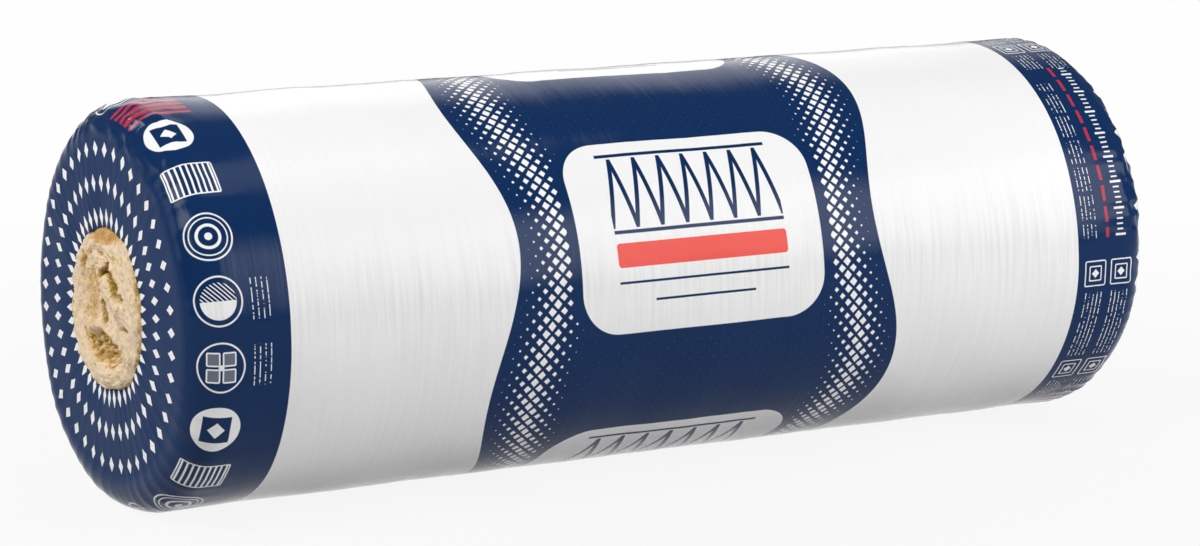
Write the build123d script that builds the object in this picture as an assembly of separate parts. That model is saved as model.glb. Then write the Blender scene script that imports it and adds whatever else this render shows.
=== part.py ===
from build123d import *

import os
from math import ceil, degrees

# A roll of glass wool insulation in a printed film sleeve, lying on its side.
# Millimetres, +Z up, +X along the roll. The origin is on the floor, under the middle of the roll.

# Roll
MAT_WIDTH = 1200.0           # overall length: the wool mat is this wide
ROLL_DIAMETER = 428.0        # outside of the sleeve
SHOULDER_RADIUS = 38.0       # rounding that the tight sleeve gives to both ends
BEVEL_SHARE = 0.3            # of that rounding, to the ridge of the bevelled wool under it
END_OPENING_DIAMETER = 168.0 # bare wool left uncovered at each end
CROWN_HEIGHT = 7.0           # how far the bare wool springs out past the sleeve
CROWN_BEVEL = 5.0            # softened edge of the bare wool

# Sleeve
FILM_THICKNESS = 0.2         # two turns of film, each about 0.1 thick
FILM_CLEARANCE = 0.4         # between the wool and the film
LAP_WIDTH = 70.0             # welded overlap that closes the sleeve
LAP_ANGLE = 145.0            # place of the lap, low at the back, in degrees from the top

# Wool turns
TURN_THICKNESS = 27.0        # one turn of the compressed mat
SEAM_GAP = 4.0               # open seam between two turns, at the ends
SEAM_DEPTH = 12.0            # depth of that seam, from the crown
EYE_WIDTH = 15.0             # flattened eye in the middle, where the mat was folded to start the roll
EYE_HEIGHT = 56.0
EYE_DEPTH = 60.0             # the wool springs shut further in
EYE_TILT = 12.0              # lean of the eye from upright, in degrees

# Worked out from the sizes above
roll_radius = ROLL_DIAMETER / 2
opening_radius = END_OPENING_DIAMETER / 2
sleeve_half_length = MAT_WIDTH / 2 - CROWN_HEIGHT
wool_inset = FILM_THICKNESS + FILM_CLEARANCE
crown_radius = opening_radius - FILM_CLEARANCE
FULL_TURN = 360.0
HALF_TURN = 180.0


def skin_line(inset):
    """Line along the outside of the roll from one end opening to the other, set in by a distance."""
    end = sleeve_half_length - inset
    side = roll_radius - inset
    corners = [(-end, 0, opening_radius), (-end, 0, side), (end, 0, side), (end, 0, opening_radius)]
    return FilletPolyline(*corners, radius=SHOULDER_RADIUS - inset)


def skin_section(outer_inset):
    """Half section of one thickness of film whose outer face is set in by a distance."""
    outer = skin_line(outer_inset)
    inner = skin_line(outer_inset + FILM_THICKNESS)
    hems = [Line(outer @ share, inner @ share) for share in (0, 1)]
    return make_face([*outer.edges(), *inner.edges(), *hems])


def film_sleeve():
    """Film turned round the roll and in over both ends, with its lap on top of it."""
    sleeve = revolve(skin_section(0), Axis.X, FULL_TURN)
    lap_arc = degrees(LAP_WIDTH / roll_radius)
    lap = revolve(skin_section(-FILM_THICKNESS), Axis.X, lap_arc)
    return sleeve + Rot(X=-LAP_ANGLE) * lap


def wool_section():
    """Half section of the wool: bare crown, face and bevelled shoulder under the film, and side."""
    crown = MAT_WIDTH / 2
    face = sleeve_half_length - wool_inset
    side = roll_radius - wool_inset
    shoulder = SHOULDER_RADIUS - wool_inset
    bevel = shoulder * BEVEL_SHARE
    with BuildSketch(Plane.XZ) as section:
        with BuildLine():
            Polyline(
                (0, 0),
                (crown, 0),
                (crown, crown_radius - CROWN_BEVEL),
                (crown - CROWN_BEVEL, crown_radius),
                (face, crown_radius),
                (face, side - shoulder),
                (face - bevel, side - bevel),
                (face - shoulder, side),
                (0, side),
                close=True,
            )
        make_face()
        mirror(about=Plane.YZ)
    return section.sketch


def turn_seam():
    """Seam between the turns, seen along the roll: half circles whose radius grows by half a turn each time."""
    half_step = TURN_THICKNESS / 2
    first_radius = EYE_HEIGHT / 2 - SEAM_GAP
    arcs = []
    for count in range(ceil((crown_radius - first_radius) / half_step) + 1):
        centre = (half_step * (count % 2), 0)
        start_angle = HALF_TURN * (count % 2)
        inner_radius = first_radius + count * half_step
        for radius in (inner_radius, inner_radius + SEAM_GAP):
            arcs.append(CenterArc(centre, radius, start_angle, HALF_TURN))
    ends = [Line(arcs[0] @ 0, arcs[1] @ 0), Line(arcs[-2] @ 1, arcs[-1] @ 1)]
    return make_face([*arcs, *ends])


def rolled_wool():
    """Turned roll of wool, with its flattened eye and the seam of its turns cut into both ends."""
    wool = revolve(wool_section(), Axis.X, FULL_TURN)
    # The eye and the seam are drawn looking along the roll, with the upper end of the eye on the sketch's X axis.
    across = Plane(origin=(0, 0, 0), x_dir=(0, 0, 1), z_dir=(1, 0, 0))
    leaning = Rot(X=EYE_TILT)
    eye = SlotOverall(EYE_HEIGHT, EYE_WIDTH)
    for drawing, depth in ((eye, EYE_DEPTH), (turn_seam(), SEAM_DEPTH)):
        cutter = leaning * extrude(across * drawing, depth)
        wool -= Pos(X=-MAT_WIDTH / 2) * cutter
        wool -= Pos(X=MAT_WIDTH / 2 - depth) * cutter
    return wool


os.makedirs("parts", exist_ok=True)
lying = Pos(Z=roll_radius)
pieces = {"film_wrap": film_sleeve(), "wool_roll": rolled_wool()}
for name, piece in pieces.items():
    export_step(lying * piece, f"parts/{name}.step")
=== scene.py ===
import math
import random

import bmesh
import bpy
import numpy as np
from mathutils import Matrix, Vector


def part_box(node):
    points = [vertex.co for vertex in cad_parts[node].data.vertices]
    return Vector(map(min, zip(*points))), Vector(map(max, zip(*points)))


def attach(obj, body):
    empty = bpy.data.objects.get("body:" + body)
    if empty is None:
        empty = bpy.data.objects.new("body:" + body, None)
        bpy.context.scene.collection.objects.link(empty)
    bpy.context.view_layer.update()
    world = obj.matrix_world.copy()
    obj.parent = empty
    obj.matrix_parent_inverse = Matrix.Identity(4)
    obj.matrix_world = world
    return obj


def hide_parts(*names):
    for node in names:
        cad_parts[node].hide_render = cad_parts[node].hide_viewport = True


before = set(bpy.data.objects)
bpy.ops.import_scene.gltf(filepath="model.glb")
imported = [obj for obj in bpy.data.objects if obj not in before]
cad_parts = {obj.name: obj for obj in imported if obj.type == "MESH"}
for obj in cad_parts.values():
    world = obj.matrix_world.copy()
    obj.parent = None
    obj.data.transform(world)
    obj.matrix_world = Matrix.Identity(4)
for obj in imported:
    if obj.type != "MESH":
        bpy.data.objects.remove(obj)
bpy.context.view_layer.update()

bl_info = {
    "name": "Insulation Roll",
    "version": (1, 0, 0),
    "blender": (4, 5, 0),
    "location": "View3D > Sidebar > Insulation Roll",
    "description": "Printed film sleeve and glass wool of an insulation roll, on a plain studio floor",
    "category": "Object",
}

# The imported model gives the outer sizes, in metres: the roll lies along X on the floor.
FILM_LOW, FILM_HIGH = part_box("film_wrap")
WOOL_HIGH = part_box("wool_roll")[1]
AXIS_HEIGHT = (FILM_LOW.z + FILM_HIGH.z) / 2
MM = 0.001
FULL_TURN = 2 * math.pi
QUARTER_TURN = math.pi / 2
BOTTOM = -QUARTER_TURN
TINY = 1e-9  # keeps a division clear of zero
PICK_MARGIN = 0.5 * MM  # for choosing vertices and edges by their place
INK_EDGE = 0.6 * MM  # softness of a printed edge


def linear(red, green, blue):
    """Scene-linear colour of a screen colour written in 0 to 255."""
    return tuple(((channel / 255 + 0.055) / 1.055) ** 2.4 for channel in (red, green, blue))


def length(name, words, default):
    """A length property, in metres."""
    return bpy.props.FloatProperty(name=name, description=words, default=default, unit="LENGTH", precision=4)


def bearing(name, words, degrees):
    """An angle property."""
    default = math.radians(degrees)
    return bpy.props.FloatProperty(name=name, description=words, default=default, subtype="ANGLE")


def amount(name, words, default):
    """A property from 0 to 1."""
    return bpy.props.FloatProperty(
        name=name, description=words, default=default, min=0, max=1, subtype="FACTOR"
    )


def colour(name, words, default):
    """A colour property, scene linear."""
    return bpy.props.FloatVectorProperty(
        name=name, description=words, default=default, subtype="COLOR", size=3, min=0, max=1
    )


class RollSizes(bpy.types.PropertyGroup):
    """Sizes of the film sleeve and of the wool in its ends."""

    radius: length("Radius", "Outside of the sleeve", (FILM_HIGH.z - FILM_LOW.z) / 2)
    half_length: length("Half length", "From the middle to the film's end face", FILM_HIGH.x)
    shoulder: length("Shoulder", "Rounding of both ends", 38 * MM)
    opening: length("Opening", "Radius of the bare wool at each end", 84 * MM)
    hem: length("Hem", "Depth of the film tucked in behind the bare wool", 9 * MM)
    lap: length("Lap", "Width of the welded overlap", 70 * MM)
    lap_angle: bearing("Lap angle", "Edge of the lap, up from the front and over the top", 235)
    crown: length("Crown", "How far the bare wool stands out of the film", WOOL_HIGH.x - FILM_HIGH.x)
    turn: length("Turn", "Thickness of one turn of wool", 27 * MM)
    sag: length("Sag", "Fullness low on the roll's sides", 6 * MM)
    lean: length("Lean", "Leanness above the axis", 2.5 * MM)


class FilmFolds(bpy.types.PropertyGroup):
    """How far the film stands out in its folds."""

    slack: length("Slack", "Long loose waves", 0.5 * MM)
    hoops: length("Hoops", "Narrow waves left by winding", 0.15 * MM)
    swell: length("Swell", "Fullness of both end faces", 1.2 * MM)
    pleats: length("Pleats", "Pleats round both shoulders", 1.1 * MM)
    far_pleats: length("Far pleats", "More at the far end, where pleats are strongest", 1.5 * MM)
    crumples: length("Crumples", "Crushed film on the upper shoulders", 1.4 * MM)
    heel: length("Heel", "Fuller low rim of the near end", 5.4 * MM)
    lap: length("Lap", "Step of the film onto its lap", 0.5 * MM)


class PrintSettings(bpy.types.PropertyGroup):
    """Sizes and colours of the print. Places along the film run from the middle of the roll."""

    white: colour("White", "Unprinted film", linear(243, 243, 243))
    # Grey is the colour of the film's streaks: painted shade in a band along the front and the back, and
    # faint streaks of the film's own elsewhere.
    grey: colour("Grey", "Unprinted film where it is stretched thin", linear(230, 228, 229))
    gloss: amount("Gloss", "Strength of the film's reflections", 0.1)
    navy: colour("Navy", "Main ink", linear(17, 47, 90))
    coral: colour("Coral", "Second ink on white", linear(240, 84, 74))
    crimson: colour("Crimson", "Second ink on navy", linear(186, 52, 72))
    left_band: length("Left band", "Inner edge of the navy band on the left", 487 * MM)
    right_band: length("Right band", "Inner edge of the navy band on the right", 490 * MM)
    middle_band: length("Middle band", "Half width of the navy band in the middle", 236 * MM)
    wave: length("Wave", "Swing of the middle band's edges", 16 * MM)
    panel_width: length("Panel width", "Half width of the white panel", 150 * MM)
    panel_height: length("Panel height", "Half height of the white panel", 106 * MM)
    panel_corner: length("Panel corner", "Corner radius of the white panel", 46 * MM)
    panel_angle: bearing("Panel angle", "Middle of the front panel, up from the front", 18)


class WoolColours(bpy.types.PropertyGroup):
    """Colours of the bare wool."""

    cream: colour("Cream", "Wool that stands out", linear(255, 230, 197))
    # Straw and olive also serve as painted shade: the deeper the wool lies in a fold, slit or hollow, the
    # further it turns from cream towards them.
    straw: colour("Straw", "Wool between folds", linear(240, 200, 126))
    olive: colour("Olive", "Wool deep in a hollow", linear(154, 124, 34))
    # Amber tints a few ovals: the top gap, the side of a fold and the pocket's floor.
    amber: colour("Amber", "Wool with more binder", linear(214, 158, 84))


class StageSettings(bpy.types.PropertyGroup):
    """Camera, floor and soft light."""

    camera: bpy.props.FloatVectorProperty(
        name="Camera", description="Place of the camera", subtype="TRANSLATION",
        default=(-2.150, -3.705, 0.938),
    )
    heading: bearing("Heading", "Turn of the camera to the right of straight back", 30.05)
    dip: bearing("Dip", "Tilt of the camera below level", 9.78)
    lens: bpy.props.FloatProperty(
        name="Lens", description="Focal length on a 36 mm sensor", default=117.75, subtype="DISTANCE_CAMERA"
    )
    floor: colour("Floor", "Pale floor", (0.48, 0.48, 0.48))
    ambient: amount("Ambient", "Soft light from all sides", 0.12)


# Sockets of a Mix node that is set to colours
MIX_FACTOR, MIX_FIRST, MIX_SECOND, MIX_RESULT = 0, 6, 7, 2


class Shade:
    """A value in a node tree. Arithmetic on it adds Math nodes to the same tree."""

    def __init__(self, tree, output=None):
        self.tree = tree
        self.output = output

    def node(self, kind, settings=(), inputs=(), output=0):
        """Adds a node: its settings first, then the values or links of its sockets."""
        made = self.tree.nodes.new(kind)
        for name, value in dict(settings).items():
            if name == "stops":
                ramp = made.color_ramp
                while len(ramp.elements) < len(value):
                    ramp.elements.new(1)
                for element, (place, shade) in zip(ramp.elements, value):
                    element.position = place
                    element.color = (*shade, 1)
            else:
                setattr(made, name, value)
        for key, value in dict(inputs).items():
            if isinstance(value, Shade):
                self.tree.links.new(value.output, made.inputs[key])
            else:
                made.inputs[key].default_value = value
        return Shade(self.tree, made.outputs[output])

    def sibling(self, output):
        """Another output of the node that this value comes from."""
        return Shade(self.tree, self.output.node.outputs[output])

    def math(self, operation, *values, clamp=False):
        """A Math node on this value and more values."""
        settings = {"operation": operation, "use_clamp": clamp}
        return self.node("ShaderNodeMath", settings, enumerate((self, *values)))

    def __add__(self, other):
        return self.math("ADD", other)

    __radd__ = __add__

    def __mul__(self, other):
        return self.math("MULTIPLY", other)

    __rmul__ = __mul__

    def __sub__(self, other):
        return self.math("SUBTRACT", other)

    def __rsub__(self, other):
        return self.node("ShaderNodeMath", {"operation": "SUBTRACT"}, {0: other, 1: self})

    def __truediv__(self, other):
        return self.math("DIVIDE", other)

    def __abs__(self):
        return self.math("ABSOLUTE")

    def __mod__(self, other):
        return self.math("FLOORED_MODULO", other)

    def least(self, other):
        return self.math("MINIMUM", other)

    def most(self, other):
        return self.math("MAXIMUM", other)

    either = most   # the larger of two masks covers what either of them covers

    def clamped(self):
        """This value, held between 0 and 1."""
        return self.math("MULTIPLY", 1, clamp=True)

    def under(self, limit, soft=INK_EDGE):
        """1 where this is under a fixed limit, 0 where it is over, with a soft edge."""
        return self.math("MULTIPLY_ADD", -1 / soft, limit / soft + 0.5, clamp=True)

    def over(self, limit, soft=INK_EDGE):
        """1 where this is over a fixed limit, 0 where it is under, with a soft edge."""
        return self.math("MULTIPLY_ADD", 1 / soft, 0.5 - limit / soft, clamp=True)

    def near(self, middle, half, soft=INK_EDGE):
        """1 within half a width of a fixed middle."""
        return abs(self - middle).under(half, soft)

    def cell(self, pitch):
        """Distance from the middle of the repeat that a place is in."""
        return (self + pitch / 2) % pitch - pitch / 2

    def count(self, pitch):
        """Whole number of the repeat that a place is in."""
        return (self / pitch + 0.5).math("FLOOR")

    def is_number(self, number):
        """1 where a count is one whole number, 0 elsewhere."""
        return self.near(number, 0.5, soft=0.1)

    def stripes(self, pitch, half):
        """1 within half a width of the middle of each repeat, 0 between them."""
        return abs(self.cell(pitch)).under(half)

    def mix(self, first, second):
        """First colour where this is 0, second where it is 1."""
        inputs = {MIX_FACTOR: self, MIX_FIRST: first, MIX_SECOND: second}
        return self.node("ShaderNodeMix", {"data_type": "RGBA"}, inputs, MIX_RESULT)

    def stretched(self, scale):
        """This place scaled along each axis."""
        return self.node("ShaderNodeVectorMath", {"operation": "MULTIPLY"}, {0: self, 1: scale})

    def split(self):
        """The first two numbers of this place."""
        first = self.node("ShaderNodeSeparateXYZ", inputs={0: self})
        return first, first.sibling(1)


def rgba(shade):
    """Colour property as a socket value."""
    return (*shade, 1)


def new_material(name):
    """Empty material: its tree as a Shade, and its principled shader's inputs."""
    material = bpy.data.materials.new(name)
    material.use_nodes = True
    tree = material.node_tree
    tree.nodes.clear()
    principled = tree.nodes.new("ShaderNodeBsdfPrincipled")
    output = tree.nodes.new("ShaderNodeOutputMaterial")
    tree.links.new(principled.outputs["BSDF"], output.inputs["Surface"])
    return material, Shade(tree), principled.inputs


def link(shade, socket):
    shade.tree.links.new(shade.output, socket)


def begin_wire(name, x, radius):
    """New object in edit mode, with one vertex at a radius below the roll's axis."""
    bpy.ops.object.select_all(action="DESELECT")
    bpy.ops.mesh.primitive_plane_add(size=MM, location=(x, 0, AXIS_HEIGHT - radius))
    piece = bpy.context.object
    piece.name = piece.data.name = name
    bpy.ops.object.mode_set(mode="EDIT")
    bpy.ops.mesh.select_mode(type="VERT")
    bpy.ops.mesh.select_all(action="SELECT")
    bpy.ops.mesh.merge(type="CENTER")
    return piece


def draw_wire(points):
    """Extrudes the selected vertex from point to point, each a place along and a radius."""
    for (x, radius), (next_x, next_radius) in zip(points, points[1:]):
        step = (next_x - x, 0, radius - next_radius)
        bpy.ops.mesh.extrude_vertices_move(TRANSFORM_OT_translate={"value": step})


def pick(piece, kind, test):
    """Selects the vertices or edges whose middle passes a test on its place along and its radius."""
    bpy.ops.mesh.select_mode(type=kind)
    bpy.ops.mesh.select_all(action="DESELECT")
    work = bmesh.from_edit_mesh(piece.data)
    for item in work.verts if kind == "VERT" else work.edges:
        ends = [item] if kind == "VERT" else item.verts
        places = [piece.matrix_world @ end.co for end in ends]
        x = sum(p.x for p in places) / len(places)
        radius = sum(math.hypot(p.y, p.z - AXIS_HEIGHT) for p in places) / len(places)
        if test(x, radius):
            item.select_set(True)
    work.select_flush_mode()
    bmesh.update_edit_mesh(piece.data)


def turn_wire(start, sweep, steps):
    """Spins the wire round the roll's axis, from an angle up from the front and over the top."""
    middle = (0, 0, AXIS_HEIGHT)
    bpy.ops.mesh.select_mode(type="VERT")
    bpy.ops.mesh.select_all(action="SELECT")
    bpy.ops.transform.rotate(value=start - BOTTOM, orient_axis="X", center_override=middle)
    bpy.ops.mesh.spin(steps=steps, angle=sweep, center=middle, axis=(1, 0, 0))
    bpy.ops.mesh.select_all(action="SELECT")


def end_edit():
    """Faces the skin outwards and leaves a smooth, unturned object at the origin."""
    bpy.ops.mesh.normals_make_consistent(inside=False)
    bpy.ops.object.mode_set(mode="OBJECT")
    bpy.ops.object.transform_apply(location=True, rotation=True, scale=True)
    bpy.ops.object.shade_smooth()


def read_places(mesh):
    """Vertex places as an array."""
    places = np.empty(len(mesh.vertices) * 3)
    mesh.vertices.foreach_get("co", places)
    return places.reshape(-1, 3)


def write_places(mesh, places):
    mesh.vertices.foreach_set("co", places.ravel())
    mesh.update()


def smooth(low, high, value):
    """Smooth step from 0 at low to 1 at high."""
    share = np.clip((value - low) / (high - low), 0, 1)
    return share * share * (3 - 2 * share)


def waves(rng, along, angle, lengths, turns, count):
    """Sum of waves over the film that close on themselves round the roll, of about unit height."""
    total = np.zeros_like(along)
    for _ in range(count):
        wave_length = rng.uniform(*lengths) * rng.choice((-1, 1))
        turned = rng.randint(*turns) * angle
        total += np.cos(FULL_TURN * along / wave_length + turned + rng.uniform(0, FULL_TURN))
    return total / math.sqrt(count)


SAG_SCALE = 2.6   # brings the largest bulge to about 1


def sag(places, sizes):
    """Lets the soft roll settle: fuller low on both sides and a little leaner above."""
    y, z = places[:, 1], places[:, 2] - AXIS_HEIGHT
    drop = -z / np.maximum(np.hypot(y, z), TINY)
    bulge = SAG_SCALE * drop * (1 - drop * drop)
    growth = np.where(bulge > 0, sizes.sag, sizes.lean) * bulge / sizes.radius
    places[:, 1] += y * growth
    places[:, 2] += z * growth


def end_face_start(sizes):
    """Place along the film where its shoulder ends and its flat end face starts."""
    return sizes.half_length - sizes.shoulder + sizes.shoulder * QUARTER_TURN


class FilmSurface:
    """Where each vertex of the untouched film lies on the sheet, and which way is out there."""

    def __init__(self, places, sizes, angle):
        x, y, z = places[:, 0], places[:, 1], places[:, 2] - AXIS_HEIGHT
        radius = np.hypot(y, z)
        self.side = np.sign(x)
        self.far = (self.side + 1) / 2
        self.angle = angle
        self.straight = sizes.half_length - sizes.shoulder
        self.face_start = end_face_start(sizes)
        past = np.maximum(np.abs(x) - self.straight, 0)
        above = radius - (sizes.radius - sizes.shoulder)
        bend = np.where(above > 0, np.arctan2(past, np.maximum(above, TINY)), QUARTER_TURN)
        self.along = np.minimum(np.abs(x), self.straight) + sizes.shoulder * bend - np.minimum(above, 0)
        self.axial = np.sin(bend) * self.side
        self.radial = np.cos(bend)
        self.outward = np.stack([self.axial, self.radial * y / radius, self.radial * z / radius], 1)

    def grown(self, origin, start, end):
        """Smooth step along the film, between two places counted from an origin."""
        return smooth(origin + start, origin + end, self.along)

    def facing(self, angle, focus):
        """1 at an angle round the roll, less beside it, 0 from a quarter turn away."""
        return np.maximum(np.cos(self.angle - angle), 0) ** focus


FILM_SEED = 4
# Waves over the film: how long they are, how many turns they make round it, and how many are added up.
SLACK_WAVES = ((90 * MM, 320 * MM), (1, 9), 14)
HOOP_WAVES = ((26 * MM, 70 * MM), (0, 3), 12)
CRUMPLE_WAVES = ((18 * MM, 42 * MM), (12, 36), 12)
# Pleats round each shoulder. A drift pushes them round, with its turns and its shift at either end.
NEAR_PLEATS, FAR_PLEATS = 58, 76
PLEAT_DRIFTS = ((1.6, 5, 1), (1.1, 11, -2))
PLEAT_STRENGTH, PLEAT_UNEVENNESS = 0.55, 0.45
PLEAT_SHARPNESS = 0.8
# Where folds grow or fade along the film, from the end of the straight side
SIDE_FADE = (-10 * MM, 20 * MM)
PLEAT_GROWTH = (-45 * MM, 25 * MM)
PLEAT_EASE_START = 30 * MM
# The same, from the start of the end face
PLEAT_EASE_END = 50 * MM
CRUMPLE_FADE = (-10 * MM, 30 * MM)
PLEAT_EASE_SHARE = 0.6
# Angles round the roll, up from the front, where the film is crushed or full, and how narrow that stretch is
NEAR_CRUSH, FAR_CRUSH, CRUSH_FOCUS = math.radians(82), math.radians(30), 6
HEEL_ANGLE, HEEL_FOCUS = math.radians(250), 3
LAP_CLIMB = 0.12  # turn over which the film climbs onto its lap
LAP_END_SHARE = 0.2  # of the lap's step, on the end faces
FLOOR_GAP = 0.2 * MM


def shoulder_pleats(sheet):
    """Uneven pleats along both shoulders, and how strong they are at each place."""
    angle, side = sheet.angle, sheet.side
    phase = (NEAR_PLEATS + (FAR_PLEATS - NEAR_PLEATS) * sheet.far) * angle
    for push, turns, shift in PLEAT_DRIFTS:
        phase += push * np.cos(turns * angle + shift * side)
    swing = np.cos(3 * angle + 2 * side) * np.cos(7 * angle + 1)
    strength = PLEAT_STRENGTH + PLEAT_UNEVENNESS * swing
    return (1 - np.abs(np.sin(phase / 2)) ** PLEAT_SHARPNESS) * strength, strength


def wrinkle_film(places, sheet, sizes, folds):
    """Moves the film as it sits: slack, hoops, swell, pleats, heel, crumples, lap and sag."""
    rng = random.Random(FILM_SEED)
    along, angle, far = sheet.along, sheet.angle, sheet.far
    signed = along * sheet.side
    slack, hoops, crumple = (
        waves(rng, signed, angle, *kind) for kind in (SLACK_WAVES, HOOP_WAVES, CRUMPLE_WAVES)
    )
    on_side = 1 - sheet.grown(sheet.straight, *SIDE_FADE)
    face = np.clip((along - sheet.face_start) / (sizes.radius - sizes.shoulder - sizes.opening), 0, 1)
    out = folds.slack * slack + folds.hoops * hoops * on_side + folds.swell * np.sin(face * math.pi) ** 2

    pleats, strength = shoulder_pleats(sheet)
    rise = sheet.grown(sheet.straight, *PLEAT_GROWTH)
    ease = smooth(sheet.straight + PLEAT_EASE_START, sheet.face_start + PLEAT_EASE_END, along)
    out += (folds.pleats + folds.far_pleats * far * strength) * pleats * rise * (1 - PLEAT_EASE_SHARE * ease)

    rim = 2 * np.abs(sheet.axial) * sheet.radial
    out += folds.heel * rim * sheet.facing(HEEL_ANGLE, HEEL_FOCUS) * (1 - far)
    crushed = sheet.facing(NEAR_CRUSH + (FAR_CRUSH - NEAR_CRUSH) * far, CRUSH_FOCUS) * rise
    crushed *= 1 - sheet.grown(sheet.face_start, *CRUMPLE_FADE)
    out += folds.crumples * crumple * crushed

    lap_start = sizes.lap_angle - sizes.lap / sizes.radius
    climbed = smooth(-LAP_CLIMB, 0.0, angle - lap_start)
    out += folds.lap * climbed * (LAP_END_SHARE + (1 - LAP_END_SHARE) * on_side)
    places += sheet.outward * out[:, None]
    sag(places, sizes)
    places[:, 2] = np.maximum(places[:, 2], FLOOR_GAP)


def film_maps(mesh, sheet, sizes):
    """Two maps: the sheet's own places in metres for the print, and the whole sheet in one square."""
    corners = np.empty(len(mesh.loops), dtype=np.int64)
    mesh.loops.foreach_get("vertex_index", corners)
    along = (sheet.along * sheet.side)[corners]
    angle = sheet.angle[corners]
    share_along = (along - along.min()) / np.ptp(along)
    share_round = (angle - angle.min()) / np.ptp(angle)
    for name, across, up in (("Print", along, angle * sizes.radius), ("OFBake", share_along, share_round)):
        layer = mesh.uv_layers.new(name=name)
        layer.data.foreach_set("uv", np.stack([across, up], 1).astype(np.float32).ravel())


# Finish of the film. Its grey streaks are painted shade in a band along the front and the back at about axis
# height, where the light falls off round the roll, and faint streaks of its own all over. It is gathered on
# its ends.
BASE_ROUGHNESS, SCUFF_ROUGHNESS, END_ROUGHNESS = 0.05, 0.14, 0.38
# Where the painted shade streaks are strongest, how narrow that band is, and how strong the streaks are in
# it and elsewhere
SHADE_BAND_ANGLE, SHADE_BAND_FOCUS = math.radians(4), 9
SHADE_BAND_STREAKS, PLAIN_STREAKS = 0.8, 0.12
STREAK_LEVEL, STREAK_CONTRAST = 0.42, 2.6
STREAK_RELIEF = 0.3
GATHER_START, GATHER_EDGE = 12 * MM, 24 * MM


def film_noise(place, along, around, detail=3.0, rough=0.6):
    """Noise with about so many grains a metre along and round the film."""
    vector = place.stretched((along, around, 1))
    inputs = {"Vector": vector, "Scale": 1.0, "Detail": detail, "Roughness": rough}
    return place.node("ShaderNodeTexNoise", {"noise_dimensions": "2D"}, inputs)


def film_material(sizes, ink):
    """Glossy white film printed in two inks, with fine hoops and faint scuffs."""
    material, shade, principled = new_material("printed_film")
    place = shade.node("ShaderNodeUVMap", {"uv_map": "Print"})
    along, around = place.split()
    girth = FULL_TURN * sizes.radius

    left_white, left_red = left_signs(along, around, girth)
    right_white, right_red = right_signs(along, around, girth)
    middle_navy, middle_coral = middle_print(along, around, girth, sizes, ink)
    white = end_lozenges(along, around, girth, sizes).either(left_white).either(right_white)
    navy = end_bands(along, ink).either(middle_navy) * (1 - white)

    hoops = film_noise(place, along=95, around=5)
    streaks = film_noise(place, along=190, around=7)
    scuffs = film_noise(place, along=9, around=14, detail=5.0, rough=0.7)
    gathers = film_noise(place, along=6, around=70, rough=0.5)
    # Painted shade: grey streaks, strong in a band along the front and the back where the light falls off,
    # faint all over
    shade_band = ((around / sizes.radius - SHADE_BAND_ANGLE) * 2).math("COSINE").most(0).math("POWER", SHADE_BAND_FOCUS)
    streaks_and_shade = ((streaks - STREAK_LEVEL) * STREAK_CONTRAST).clamped() * (shade_band * SHADE_BAND_STREAKS + PLAIN_STREAKS)
    film = streaks_and_shade.mix(rgba(ink.white), rgba(ink.grey))
    base = navy.mix(film, rgba(ink.navy))
    base = middle_coral.mix(base, rgba(ink.coral))
    base = left_red.either(right_red).mix(base, rgba(ink.crimson))
    link(base, principled["Base Color"])

    on_end = abs(along).over(sizes.half_length + GATHER_START, GATHER_EDGE)
    rough = scuffs * SCUFF_ROUGHNESS + BASE_ROUGHNESS + on_end * END_ROUGHNESS
    link(rough, principled["Roughness"])
    relief = (hoops + streaks * STREAK_RELIEF) * (1 - on_end) + gathers * on_end
    bump = shade.node("ShaderNodeBump", inputs={"Strength": 0.5, "Distance": 0.5 * MM, "Height": relief})
    link(bump, principled["Normal"])
    principled["Specular IOR Level"].default_value = ink.gloss
    return material


def box(across, up, half_width, half_height):
    """Mask of a rectangle about the middle of a cell."""
    return abs(across).under(half_width) * abs(up).under(half_height)


def rounded_box(across, up, half_width, half_height, corner):
    """Distance outside a rectangle with round corners, negative inside."""
    right = (abs(across) - (half_width - corner)).most(0)
    top = (abs(up) - (half_height - corner)).most(0)
    return reach(right, top) - corner


def reach(across, up):
    """Distance from the middle of a cell."""
    return (across * across + up * up).math("SQRT")


def lozenge(across, up, half_width):
    """Mask of a lozenge about the middle of a cell."""
    return (abs(across) + abs(up)).under(half_width)


GAP_RATE = 330  # gaps a metre along a broken rule, about
RULE_SHIFT = 7.3  # between the gaps of one rule and the next
GAP_LEVEL, GAP_EDGE = 0.45, 0.06
RULE_LINE = 0.5 * MM


def broken_rules(across, around, pitch):
    """Thin rules at a pitch, with uneven gaps that are different on each rule."""
    inputs = {0: across.count(pitch) * RULE_SHIFT, 1: around * GAP_RATE}
    place = across.node("ShaderNodeCombineXYZ", inputs=inputs)
    settings = {"noise_dimensions": "2D"}
    gaps = across.node("ShaderNodeTexNoise", settings, {"Vector": place, "Scale": 1.0, "Detail": 1.0})
    return across.stripes(pitch, RULE_LINE) * gaps.over(GAP_LEVEL, GAP_EDGE)


def end_bands(along, ink):
    """Navy at both ends of the sheet."""
    return (along * -1).over(ink.left_band).either(along.over(ink.right_band))


def end_lozenges(along, around, girth, sizes):
    """Rows of white lozenges on the gathered ends, one row more on the right."""
    pitch = girth / 44
    row_pitch = 35.5 * MM
    first_row = end_face_start(sizes) + 11 * MM
    right_shift = 11 * MM
    swing = 4.5 * MM
    half_height, half_width = 8.2 * MM, 7.2 * MM
    growth, edge = 0.14, 0.08
    drift = (around / sizes.radius).math("COSINE") * swing
    on_right = along.over(0)
    past = abs(along) - drift - first_row + on_right * right_shift
    row = past.count(row_pitch)
    from_row = past - row * row_pitch
    from_middle = (around + (row % 2) * (pitch / 2)).cell(pitch)
    size = row * growth + 1.0
    spread = (abs(from_row) / half_height + abs(from_middle) / half_width) / size
    return spread.under(1, edge) * (past + on_right * row_pitch).over(-row_pitch / 2)


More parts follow.
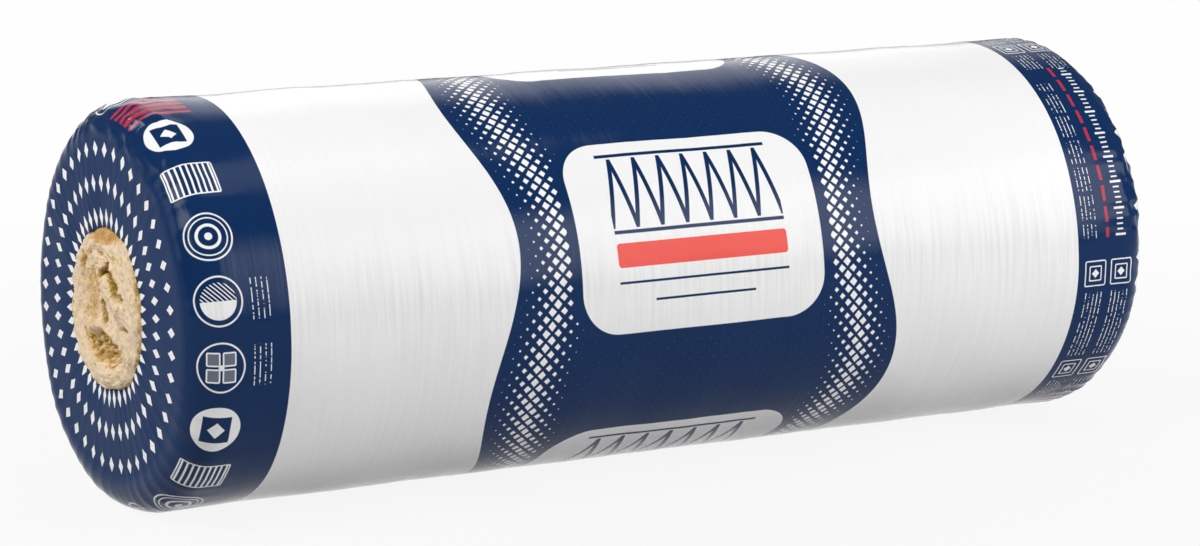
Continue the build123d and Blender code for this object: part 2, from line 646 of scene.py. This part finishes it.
def sign_drawings(across, up):
    """Plain signs: a half-filled disc, a target, a barred box, a cut disc and four squares."""
    out = reach(across, up)
    ring = out.near(25 * MM, half=0.9 * MM)
    hatch = (across + up).stripes(pitch=5 * MM, half=0.8 * MM).either(up.under(0))
    half_disc = ring.either(out.under(19 * MM) * hatch)
    target = ring.either(out.near(20 * MM, half=0.7 * MM)).either(out.near(12 * MM, half=1.6 * MM))
    target = target.either(out.under(4 * MM))
    outside = rounded_box(across, up, half_width=27 * MM, half_height=19 * MM, corner=2 * MM)
    bars = outside.under(0) * across.stripes(pitch=6 * MM, half=1.1 * MM)
    barred_box = abs(outside).under(0.8 * MM).either(bars)
    cut = box(across, up, half_width=15 * MM, half_height=15 * MM) * (1 - lozenge(across, up, 9 * MM))
    cut_disc = out.under(26 * MM) * (1 - cut)
    from_square = [abs(place) - 8.5 * MM for place in (across, up)]
    outside = rounded_box(*from_square, half_width=6.5 * MM, half_height=6.5 * MM, corner=MM)
    squares = ring.either(abs(outside).under(0.8 * MM)).either(out.under(3 * MM))
    return half_disc, target, barred_box, cut_disc, squares


def left_signs(along, around, girth):
    """Plain signs down the left band, broken rules beside some, and coral bars in place of one."""
    signs_round = 20
    column = -563 * MM
    start = math.radians(10)
    pitch = girth / signs_round
    across = along - column
    shifted = around - start * girth / FULL_TURN
    up = shifted.cell(pitch)
    number = shifted.count(pitch)
    drawings = sign_drawings(across, up)
    kind = number % len(drawings)
    signs = sum(kind.is_number(place) * drawing for place, drawing in enumerate(drawings))
    ruled = kind.is_number(0) + kind.is_number(len(drawings) - 1)
    rules = across.near(44 * MM, half=11 * MM) * abs(up).under(21 * MM) * ruled
    rules = rules * broken_rules(across, around, pitch=6 * MM)
    in_block = number.cell(signs_round).is_number(4)
    coral = box(across - 6 * MM, up, half_width=36 * MM, half_height=27 * MM)
    coral = coral * up.stripes(pitch=13 * MM, half=3.6 * MM) * in_block
    return signs.either(rules) * (1 - in_block), coral


def right_signs(along, around, girth):
    """A scale of ticks, dashes, broken rules and small framed squares on the right band."""
    scale = 549 * MM
    up = (around - 15 * MM).cell(girth / 3)
    upper = up.over(-2 * MM)
    ticks = along.near(scale, half=4 * MM) * up.stripes(pitch=6 * MM, half=0.9 * MM)
    marks = along.near(scale, half=7 * MM) * up.stripes(pitch=30 * MM, half=1.3 * MM)
    dashes = along.near(531 * MM, half=2 * MM) * up.stripes(pitch=24 * MM, half=9 * MM) * upper
    text = along.near(508 * MM, half=11.5 * MM) * up.stripes(pitch=33 * MM, half=14 * MM)
    text = text * up.under(196 * MM) * broken_rules(along, around, pitch=5.6 * MM)
    pair = abs(along - 532 * MM) - 18 * MM
    low = (up + 42 * MM).cell(127 * MM)
    lower = lozenge(pair, low, 5 * MM)
    for half, corner in ((14 * MM, 2 * MM), (8 * MM, 1 * MM)):
        lower = lower.either(abs(rounded_box(pair, low, half, half, corner)).under(0.7 * MM))
    notes = abs(pair).under(12 * MM) * abs(low).over(22 * MM) * broken_rules(pair, around, pitch=5.4 * MM)
    white = ticks.either(marks).either(text) * upper
    return white.either(lower.either(notes) * up.under(-24 * MM)), dashes


def opened_band(along, around, swing, ink):
    """Navy band with waved edges, opened up near them by lozenges that grow and shrink again."""
    pitch = 15 * MM
    largest = 0.36 * pitch
    inside = swing * -1 - abs(along) + ink.middle_band
    from_middle = abs((along + around).cell(pitch)).most(abs((along - around).cell(pitch)))
    spread = (1 - abs(inside - 50 * MM) / (42 * MM)).most(0)
    return inside.over(0) * (spread * largest - from_middle).under(0, soft=0.8 * MM)


def panel_drawing(across, up):
    """Navy lines of the panel: a zigzag between two faces, and two rules below."""
    half_width = 105 * MM
    fold_pitch, fold_slope = 30 * MM, 5.0
    from_zigzag = up - 46 * MM
    fold = (abs((across % fold_pitch) - fold_pitch / 2) - fold_pitch / 4) * fold_slope
    zigzag = abs(from_zigzag - fold).under(13 * MM, soft=3 * MM)
    drawing = zigzag * box(across, from_zigzag, half_width, half_height=40 * MM)
    drawing = drawing.either(abs(from_zigzag).near(44 * MM, half=2 * MM) * abs(across).under(half_width))
    for place, half_rule in ((-52 * MM, half_width), (-72 * MM, 62 * MM)):
        drawing = drawing.either(up.near(place, half=1.3 * MM) * abs(across).under(half_rule))
    return drawing


def middle_print(along, around, girth, sizes, ink):
    """Navy band in the middle, with a bordered and printed white panel in each quarter."""
    quarter = girth / 4
    up = (around - ink.panel_angle * sizes.radius).cell(quarter)
    swing = (up * (FULL_TURN / quarter)).math("COSINE") * ink.wave
    outside = rounded_box(along, up, ink.panel_width, ink.panel_height, ink.panel_corner)
    paper = outside.under(0)
    border = outside.under(12 * MM)
    band = opened_band(along, around, swing, ink).either(border)
    bar = rounded_box(along, up + 23 * MM, half_width=105 * MM, half_height=13 * MM, corner=4 * MM).under(0)
    navy = band * (1 - paper) + panel_drawing(along, up) * paper
    return navy * (1 - bar), bar


# Fibres of the wool: about how many lie in a metre along each axis, and how much they twist.
TUFTS = ((110, 150, 110), 0.8)
STRANDS = ((70, 70, 460), 1.0)
CROSSING = ((300, 120, 480), 1.5)
HAIRS = ((900, 1300, 420), 1.0)
SPECKS = ((240, 260, 220), 0.3)
SPECK_LEVEL, SPECK_EDGE = 0.62, 0.1
FIBRE_SHARPNESS = 14
# How much each of them darkens the wool
TUFT_TONE, STRAND_TONE, SPECK_TONE, WEB_TONE = 1.1, 2.1, 0.4, -0.2
STRAW_TONE, OLIVE_TONE = 0.34, 0.85


def fibre_noise(place, scale, twist):
    """Noise stretched along one direction, as matted fibres lie."""
    inputs = {"Vector": place.stretched(scale), "Scale": 1.0, "Detail": 5.0, "Distortion": twist}
    return place.node("ShaderNodeTexNoise", inputs=inputs)


def fibre_line(noise):
    """Thin lines along the middle level of a noise, as single fibres."""
    return (1 - abs(noise - 0.5) * FIBRE_SHARPNESS).most(0)


def wool_material(colours):
    """Glass wool: cream where it stands out, straw and olive as painted shade in its hollows, random fibre
    tones, amber in places, fibrous.
    """
    material, shade, principled = new_material("glass_wool")
    place = shade.node("ShaderNodeTexCoord", output="Object")
    depth = shade.node("ShaderNodeAttribute", {"attribute_name": "hollow"}, output="Fac")
    stain = shade.node("ShaderNodeAttribute", {"attribute_name": "stain"}, output="Fac")
    lay = shade.node("ShaderNodeAttribute", {"attribute_name": "lay"}, output="Vector")
    strands = fibre_noise(lay, *STRANDS)
    tufts, crossing, hairs, specks = (fibre_noise(place, *kind) for kind in (TUFTS, CROSSING, HAIRS, SPECKS))
    specks = specks.over(SPECK_LEVEL, SPECK_EDGE)
    web = fibre_line(strands).most(fibre_line(crossing)).most(fibre_line(hairs) * 0.7)
    # Painted shade from the depth of the wool, plus random fibre tones, picks cream, straw or olive.
    tone = depth + (tufts - 0.5) * TUFT_TONE + (strands - 0.5) * STRAND_TONE
    tone = tone + specks * SPECK_TONE + web * WEB_TONE
    stops = [(0.0, colours.cream), (STRAW_TONE, colours.straw), (OLIVE_TONE, colours.olive)]
    base = shade.node("ShaderNodeValToRGB", {"stops": stops}, {0: tone})
    base = (stain * (tufts * 2 - 0.2)).clamped().mix(base, rgba(colours.amber))
    link(base, principled["Base Color"])
    relief = tufts * 0.6 + strands * 0.8 + crossing * 0.4 + web * 0.25
    bump = shade.node("ShaderNodeBump", inputs={"Strength": 0.6, "Distance": 3 * MM, "Height": relief})
    link(bump, principled["Normal"])
    principled["Roughness"].default_value = 0.9
    principled["Specular IOR Level"].default_value = 0.2
    principled["Sheen Weight"].default_value = 0.2
    return material


# The folds of the bare wool, in millimetres across and up from the middle of the end as seen from outside.
# A slit or ridge runs from one point to another, with its width and its depth or height.
SLITS = (
    ((15, 44), (35, 24), 11, 13), ((-4, 36), (15, 45), 8, 11),
    ((4, 6), (13, -8), 9, 10), ((17, 51), (17, 43), 5, 8),
    ((3, 26), (-12, 17), 7, 8), ((-48, 50), (-49, 36), 10, 7),
    ((-49, 36), (-53, 5), 8, 5), ((-53, 5), (-50, -25), 7, 5),
    ((-50, -25), (-38, -42), 9, 8), ((-38, -42), (-20, -54), 9, 8),
    ((30, 62), (47, 45), 5, 3), ((24, -58), (48, -44), 6, 4),
)
RIDGES = (
    ((-12, 66), (34, 60), 9, 3), ((8, 26), (48, 6), 13, 5),
    ((48, 6), (46, -28), 12, 3), ((-26, -22), (3, -14), 11, 5),
    ((3, -14), (34, -25), 11, 5), ((-6, -68), (24, -67), 12, 3),
    ((37, -46), (40, -58), 11, 3),
)
# A hollow is an oval: its middle, its half width and half height, and its depth.
POCKET = ((-1, -40), (45, 20), 8)
TOP_GAP = ((-6, 78), (47, 11), 6)
FOLD_SIDE = ((-26, 10), (20, 36), 3.5)
POCKET_FLOOR = ((3, -44), (14, 7), 0)
HOLLOWS = (
    POCKET, TOP_GAP, FOLD_SIDE,
    ((-10, 21), (10, 5), 4), ((46, 17), (10, 4.5), 10),
    ((55, -14), (8, 3.2), 10), ((-3, 57), (11, 3), 6),
    ((9, -31), (10, 4), 5), ((-19, -52), (8, 4), 5),
    ((9, -58), (8, 3), 5), ((-36, -38), (5, 7), 4),
)
# Ovals tinted amber, and how strongly
AMBER_OVALS = ((TOP_GAP, 1.0), (FOLD_SIDE, 0.45), (POCKET_FLOOR, 0.6))
# Where the walls and the shade of slits and the walls of ovals begin and end, as shares of their size
SLIT_WALL, SLIT_SHADE, OVAL_WALL = (0.15, 0.65), (0.3, 0.8), (0.62, 1.12)
RIDGE_SHARE = 0.6   # of a ridge's width, over which its height falls off
# Depths in millimetres at which the painted shade of slits, hollows and the rest is darkest
SLIT_DARK, HOLLOW_DARK, OTHER_DARK = 11, 12, 15
# The uneven rim: each wave's height in millimetres, its turns and its shift
RIM_WAVES = ((1.3, 3, 1), (0.9, 7, 0), (0.5, 17, 2))
RIM_SPREAD, RIM_ROUNDING = 2 * MM, 11 * MM
TUCK_DEPTH, TUCK_WALL = 7 * MM, (-6 * MM, 1 * MM)
# The seam of the outer turn wanders off the middle, and is deeper on one side.
SEAM_WANDER, SEAM_ANGLE, SEAM_WIDTH = 5 * MM, 2.2, 3 * MM
SEAM_DEPTH, SEAM_CHANGE = 2.5 * MM, 1 * MM


def from_segment(across, up, start, end):
    """Distance from a straight stretch."""
    start, end = np.array(start) * MM, np.array(end) * MM
    run = end - start
    share = np.clip(((across - start[0]) * run[0] + (up - start[1]) * run[1]) / (run @ run), 0, 1)
    return np.hypot(across - start[0] - share * run[0], up - start[1] - share * run[1])


def hollow_oval(across, up, oval):
    """Sunk oval with steep soft sides, as a share of its depth."""
    (x, y), (half_width, half_height), _ = oval
    out = np.hypot((across - x * MM) / (half_width * MM), (up - y * MM) / (half_height * MM))
    return 1 - smooth(*OVAL_WALL, out)


def wool_relief(across, up, sizes):
    """Height of the bare wool over the film's end face, and its painted shade: darker the deeper it lies,
    and in and beside slits and hollows.
    """
    radius = np.hypot(across, up)
    angle = np.arctan2(up, across)
    wobble = sum(tall * MM * np.cos(turns * angle + shift) for tall, turns, shift in RIM_WAVES)
    inwards = sizes.opening + RIM_SPREAD + wobble - radius
    edge = np.clip(inwards / RIM_ROUNDING, 0, 1)
    height = sizes.crown * np.sqrt(edge * (2 - edge)) - TUCK_DEPTH * (1 - smooth(*TUCK_WALL, inwards))
    seam = sizes.opening - sizes.turn + SEAM_WANDER * np.cos(angle - SEAM_ANGLE) + wobble
    height -= (SEAM_DEPTH - SEAM_CHANGE * np.cos(angle)) * np.exp(-(((radius - seam) / SEAM_WIDTH) ** 2))
    for start, end, width, tall in RIDGES:
        out = from_segment(across, up, start, end) / (RIDGE_SHARE * width * MM)
        height += tall * MM * np.exp(-(out ** 2))
    # Painted shade: darker the deeper the wool lies below its crown
    painted_shade = np.clip((sizes.crown - MM - height) / (OTHER_DARK * MM), 0, 1)
    for start, end, width, deep in SLITS:
        out = from_segment(across, up, start, end) / (width * MM)
        height -= deep * MM * (1 - smooth(*SLIT_WALL, out))
        painted_shade = np.maximum(painted_shade, deep / SLIT_DARK * (1 - smooth(*SLIT_SHADE, out)))
    for oval in HOLLOWS:
        share = hollow_oval(across, up, oval)
        deep = oval[2]
        height -= deep * MM * share
        painted_shade = np.maximum(painted_shade, deep / HOLLOW_DARK * share)
    return height, painted_shade


# Clumps and layers of fibre: about how large they are and how far they stand out, in millimetres
CLUMPS = ((21, 0.8), (10, 0.5), (5, 0.35), (3, 0.25))
LAYERS = ((7, 0.4), (3.5, 0.35))
CLUMP_WAVES, LAYER_WAVES = 11, 9
POCKET_CLUMP, POCKET_HEIGHT, POCKET_LIGHT = 8 * MM, 2 * MM, 0.25


def fluff(rng, across, up, size):
    """Uneven clumps of fibre of about a size, of about unit height."""
    total = np.zeros_like(across)
    for _ in range(CLUMP_WAVES):
        heading = rng.uniform(0, FULL_TURN)
        rate = FULL_TURN / (size * rng.uniform(0.6, 1.7))
        ahead = across * math.cos(heading) + up * math.sin(heading)
        aside = across * math.sin(heading) - up * math.cos(heading)
        bend = 0.35 * size * np.sin(aside * rate * 0.55 + rng.uniform(0, 6))
        total += np.cos((ahead + bend) * rate + rng.uniform(0, FULL_TURN))
    return total / math.sqrt(CLUMP_WAVES)


def layers(rng, radius, angle, size):
    """Uneven ridges of about a size that follow the turns, of about unit height."""
    total = np.zeros_like(radius)
    for _ in range(LAYER_WAVES):
        rate = FULL_TURN / (size * rng.uniform(0.7, 1.5))
        sway = 0.3 * size * np.sin(rng.randint(2, 9) * angle + rng.uniform(0, FULL_TURN))
        total += np.cos((radius + sway) * rate + rng.randint(-2, 2) * angle + rng.uniform(0, FULL_TURN))
    return total / math.sqrt(LAYER_WAVES)


# Each end: its side, and how far its folds are turned.
ENDS = ((-1, 0.0), (1, 2.1))
WOOL_SEED = 7
END_DEPTH, END_MARGIN = 4 * MM, 9 * MM


def shape_wool(mesh, sizes):
    """Raises the folds of both ends, and keeps each place's painted shade, amber tint and fibres for its
    colour.
    """
    places = read_places(mesh)
    y, z = places[:, 1], places[:, 2] - AXIS_HEIGHT
    radius, angle = np.hypot(y, z), np.arctan2(z, y)
    hollow = np.zeros(len(places), dtype=np.float32)
    stain = np.zeros(len(places), dtype=np.float32)
    for side, turn in ENDS:
        rng = random.Random(WOOL_SEED - side)
        at_end = places[:, 0] * side > sizes.half_length - END_DEPTH
        at_end &= radius < sizes.opening + END_MARGIN
        level, upright = y[at_end] * side, z[at_end]
        across = level * math.cos(turn) - upright * math.sin(turn)
        up = level * math.sin(turn) + upright * math.cos(turn)
        height, painted_shade = wool_relief(across, up, sizes)
        for size, tall in CLUMPS:
            height += tall * MM * fluff(rng, across, up, size * MM)
        for size, tall in LAYERS:
            height += tall * MM * layers(rng, radius[at_end], angle[at_end], size * MM)
        clumps = fluff(rng, across, up, POCKET_CLUMP) * hollow_oval(across, up, POCKET)
        height += POCKET_HEIGHT * clumps
        # Painted shade, a little lighter on the pocket's raised clumps
        hollow[at_end] = np.clip(painted_shade - POCKET_LIGHT * clumps, 0, 1)
        stain[at_end] = sum(share * hollow_oval(across, up, oval) for oval, share in AMBER_OVALS)
        places[at_end, 0] = side * (sizes.half_length + height)
    lay = np.stack([sizes.opening * np.cos(angle), sizes.opening * np.sin(angle), radius], 1)
    sag(places, sizes)
    write_places(mesh, places)
    for name, values in (("hollow", hollow), ("stain", stain)):
        mesh.attributes.new(name, "FLOAT", "POINT").data.foreach_set("value", values)
    fibres = mesh.attributes.new("lay", "FLOAT_VECTOR", "POINT")
    fibres.data.foreach_set("vector", lay.astype(np.float32).ravel())


# How finely both skins are divided
SHOULDER_SEGMENTS, SIDE_CUTS, FACE_CUTS = 12, 111, 13
WOOL_CUTS, WOOL_STEPS = 93, 320
HEM_TUCK = 2 * MM  # the film's hem is this much narrower than its opening
WOOL_GAP = 3 * MM  # between the wool and the film over it
BARE_MARGIN = 10 * MM  # of finely divided wool, past the opening
MERGE_DISTANCE = 0.02 * MM


class ROLL_OT_film_sleeve(bpy.types.Operator):
    """Printed film, drawn round the wool and in over both ends"""

    bl_idname = "roll.film_sleeve"
    bl_label = "Film Sleeve"

    def execute(self, context):
        sizes, folds, ink = context.scene.roll_sizes, context.scene.roll_folds, context.scene.roll_print
        end, rim = sizes.half_length, sizes.opening
        straight, flat = end - sizes.shoulder, sizes.radius - sizes.shoulder
        points = [
            (-end + sizes.hem, rim - HEM_TUCK), (-end, rim), (-end, sizes.radius),
            (end, sizes.radius), (end, rim), (end - sizes.hem, rim - HEM_TUCK),
        ]
        piece = begin_wire("film_sleeve", *points[0])
        draw_wire(points)
        pick(piece, "VERT", lambda x, radius: radius > sizes.radius - PICK_MARGIN)
        bpy.ops.mesh.bevel(offset=sizes.shoulder, segments=SHOULDER_SEGMENTS, affect="VERTICES")
        pick(piece, "EDGE", lambda x, radius: abs(x) < straight - PICK_MARGIN)
        bpy.ops.mesh.subdivide(number_cuts=SIDE_CUTS)
        pick(piece, "EDGE", lambda x, radius: abs(x) > end - PICK_MARGIN and radius < flat)
        bpy.ops.mesh.subdivide(number_cuts=FACE_CUTS)
        sweep = FULL_TURN + sizes.lap / sizes.radius
        steps = round(math.degrees(sweep))
        turn_wire(sizes.lap_angle - sweep, sweep, steps)
        end_edit()
        places = read_places(piece.data)
        row = np.arange(len(places)) // (len(places) // (steps + 1))
        sheet = FilmSurface(places, sizes, sizes.lap_angle + sweep * (row / steps - 1))
        film_maps(piece.data, sheet, sizes)
        wrinkle_film(places, sheet, sizes, folds)
        write_places(piece.data, places)
        piece.data.materials.append(film_material(sizes, ink))
        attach(piece, "root")
        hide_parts("film_wrap")
        return {"FINISHED"}


class ROLL_OT_wool(bpy.types.Operator):
    """Rolled glass wool, with the turn and the folds that show in the ends"""

    bl_idname = "roll.wool"
    bl_label = "Glass Wool"

    def execute(self, context):
        sizes, colours = context.scene.roll_sizes, context.scene.wool_colours
        end, bare = sizes.half_length - MM, sizes.opening + BARE_MARGIN
        face, side = end - WOOL_GAP, sizes.radius - WOOL_GAP
        bevel = sizes.shoulder
        half = [(end, 0), (end, bare), (face, bare), (face, side - bevel), (end - bevel, side)]
        points = [(-x, radius) for x, radius in half] + half[::-1]
        piece = begin_wire("glass_wool", *points[0])
        draw_wire(points)
        pick(piece, "EDGE", lambda x, radius: abs(x) > end - PICK_MARGIN and radius < bare - PICK_MARGIN)
        bpy.ops.mesh.subdivide(number_cuts=WOOL_CUTS)
        turn_wire(BOTTOM, FULL_TURN, WOOL_STEPS)
        bpy.ops.mesh.remove_doubles(threshold=MERGE_DISTANCE)
        end_edit()
        shape_wool(piece.data, sizes)
        piece.data.materials.append(wool_material(colours))
        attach(piece, "root")
        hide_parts("wool_roll")
        return {"FINISHED"}


# Soft lamps: name, place, target, width and height, and power in watts
LAMPS = (
    ("front_lamp", (2.5, -3.2, 1.75), (0.6, 0, 0.2), (4.0, 3.2), 252),
    ("left_lamp", (-2.7, -0.45, 2.4), (-0.6, 0, 0.2), (2.2, 2.0), 130),
    ("low_lamp", (-3.2, 1.0, 1.2), (-0.6, 0, 0.2), (1.6, 1.6), 18),
    ("back_lamp", (1.0, 2.3, 1.7), (0.2, 0, 0.3), (3.8, 2.8), 52),
    ("top_lamp", (0.75, -0.6, 3.2), (-0.3, 0, 0.4), (1.4, 1.1), 13),
    ("rim_lamp", (-1.7, 2.0, 2.5), (-0.5, 0, 0.4), (0.7, 0.7), 13),
)
LAMP_HALF, LAMP_EDGE = 0.37, 0.26  # bright middle of a lamp and its soft edge, as shares of its size
WHITE = (1, 1, 1, 1)
FLOOR_SIZE = 60
SENSOR_WIDTH = 36
# The floor shows whiter away from the roll: distances in metres, and shares of plain white.
FLOOR_FADE, FLOOR_EDGE = 1.3, 1.6
FLOOR_WHITE, FLOOR_GAIN = 0.9, 0.09


class ROLL_OT_stage(bpy.types.Operator):
    """Plain pale floor, soft lamps and the camera"""

    bl_idname = "roll.stage"
    bl_label = "Stage"

    def execute(self, context):
        stage = context.scene.roll_stage
        bpy.ops.object.select_all(action="DESELECT")
        bpy.ops.mesh.primitive_plane_add(size=FLOOR_SIZE)
        floor = context.object
        floor.name = "floor"
        floor.data.materials.append(floor_material(stage))
        for lamp in LAMPS:
            soft_lamp(*lamp)
        world = bpy.data.worlds.new("studio")
        world.use_nodes = True
        background = world.node_tree.nodes["Background"]
        background.inputs["Color"].default_value = WHITE
        background.inputs["Strength"].default_value = stage.ambient
        context.scene.world = world
        camera = bpy.data.cameras.new("photo_camera")
        camera.lens = stage.lens
        camera.sensor_width = SENSOR_WIDTH
        holder = bpy.data.objects.new("photo_camera", camera)
        context.collection.objects.link(holder)
        holder.location = stage.camera
        holder.rotation_euler = (QUARTER_TURN - stage.dip, 0, -stage.heading)
        context.scene.camera = holder
        context.scene.view_settings.view_transform = "Standard"
        return {"FINISHED"}


def floor_material(stage):
    """Pale matt floor that shows nearly white to the camera and still takes the roll's shadow."""
    material, shade, principled = new_material("pale_floor")
    principled["Base Color"].default_value = rgba(stage.floor)
    principled["Roughness"].default_value = 0.9
    place = shade.node("ShaderNodeTexCoord", output="Object")
    away = shade.node("ShaderNodeVectorMath", {"operation": "LENGTH"}, {0: place}, "Value")
    white = away.over(FLOOR_FADE, FLOOR_EDGE) * FLOOR_GAIN + FLOOR_WHITE
    glow = shade.node("ShaderNodeEmission", inputs={"Color": WHITE, "Strength": 1.0})
    output = next(n for n in shade.tree.nodes if n.type == "OUTPUT_MATERIAL")
    plain = Shade(shade.tree, output.inputs["Surface"].links[0].from_socket)
    mixed = shade.node("ShaderNodeMixShader", inputs={0: seen_rays(shade) * white, 1: plain, 2: glow})
    link(mixed, output.inputs["Surface"])
    return material


def seen_rays(shade):
    """1 for what the camera sees, also in a reflection or through glass."""
    path = shade.node("ShaderNodeLightPath")
    names = ("Is Camera Ray", "Is Glossy Ray", "Is Transmission Ray")
    return sum(path.sibling(name) for name in names).least(1)


def soft_lamp(name, place, target, size, power):
    """Area lamp that faces a target, dimmer towards its edges."""
    lamp = bpy.data.lights.new(name, "AREA")
    lamp.shape = "RECTANGLE"
    lamp.size, lamp.size_y = size
    lamp.energy = power
    lamp.use_nodes = True
    on_lamp = Shade(lamp.node_tree).node("ShaderNodeNewGeometry", output="Parametric")
    across, up = (share.near(0.5, LAMP_HALF, LAMP_EDGE) for share in on_lamp.split())
    link(across * up, lamp.node_tree.nodes["Emission"].inputs["Color"])
    holder = bpy.data.objects.new(name, lamp)
    bpy.context.collection.objects.link(holder)
    holder.location = place
    x, y, z = np.array(target) - np.array(place)
    tilt = math.atan2(z, math.hypot(x, y))
    holder.rotation_euler = (QUARTER_TURN + tilt, 0, math.atan2(y, x) - QUARTER_TURN)


class VIEW3D_PT_insulation_roll(bpy.types.Panel):
    """Lists the steps that build the roll"""

    bl_label = "Insulation Roll"
    bl_space_type = "VIEW_3D"
    bl_region_type = "UI"
    bl_category = "Insulation Roll"

    def draw(self, context):
        for step in STEPS:
            self.layout.operator(step.bl_idname)


STEPS = (ROLL_OT_film_sleeve, ROLL_OT_wool, ROLL_OT_stage)
GROUPS = {
    "roll_sizes": RollSizes,
    "roll_folds": FilmFolds,
    "roll_print": PrintSettings,
    "wool_colours": WoolColours,
    "roll_stage": StageSettings,
}


def register():
    for name, group in GROUPS.items():
        bpy.utils.register_class(group)
        setattr(bpy.types.Scene, name, bpy.props.PointerProperty(type=group))
    for step in (*STEPS, VIEW3D_PT_insulation_roll):
        bpy.utils.register_class(step)


def unregister():
    for step in (VIEW3D_PT_insulation_roll, *reversed(STEPS)):
        bpy.utils.unregister_class(step)
    for name, group in GROUPS.items():
        delattr(bpy.types.Scene, name)
        bpy.utils.unregister_class(group)


def main():
    register()
    bpy.ops.roll.film_sleeve()
    bpy.ops.roll.wool()
    bpy.ops.roll.stage()


if __name__ == "__main__":
    main()
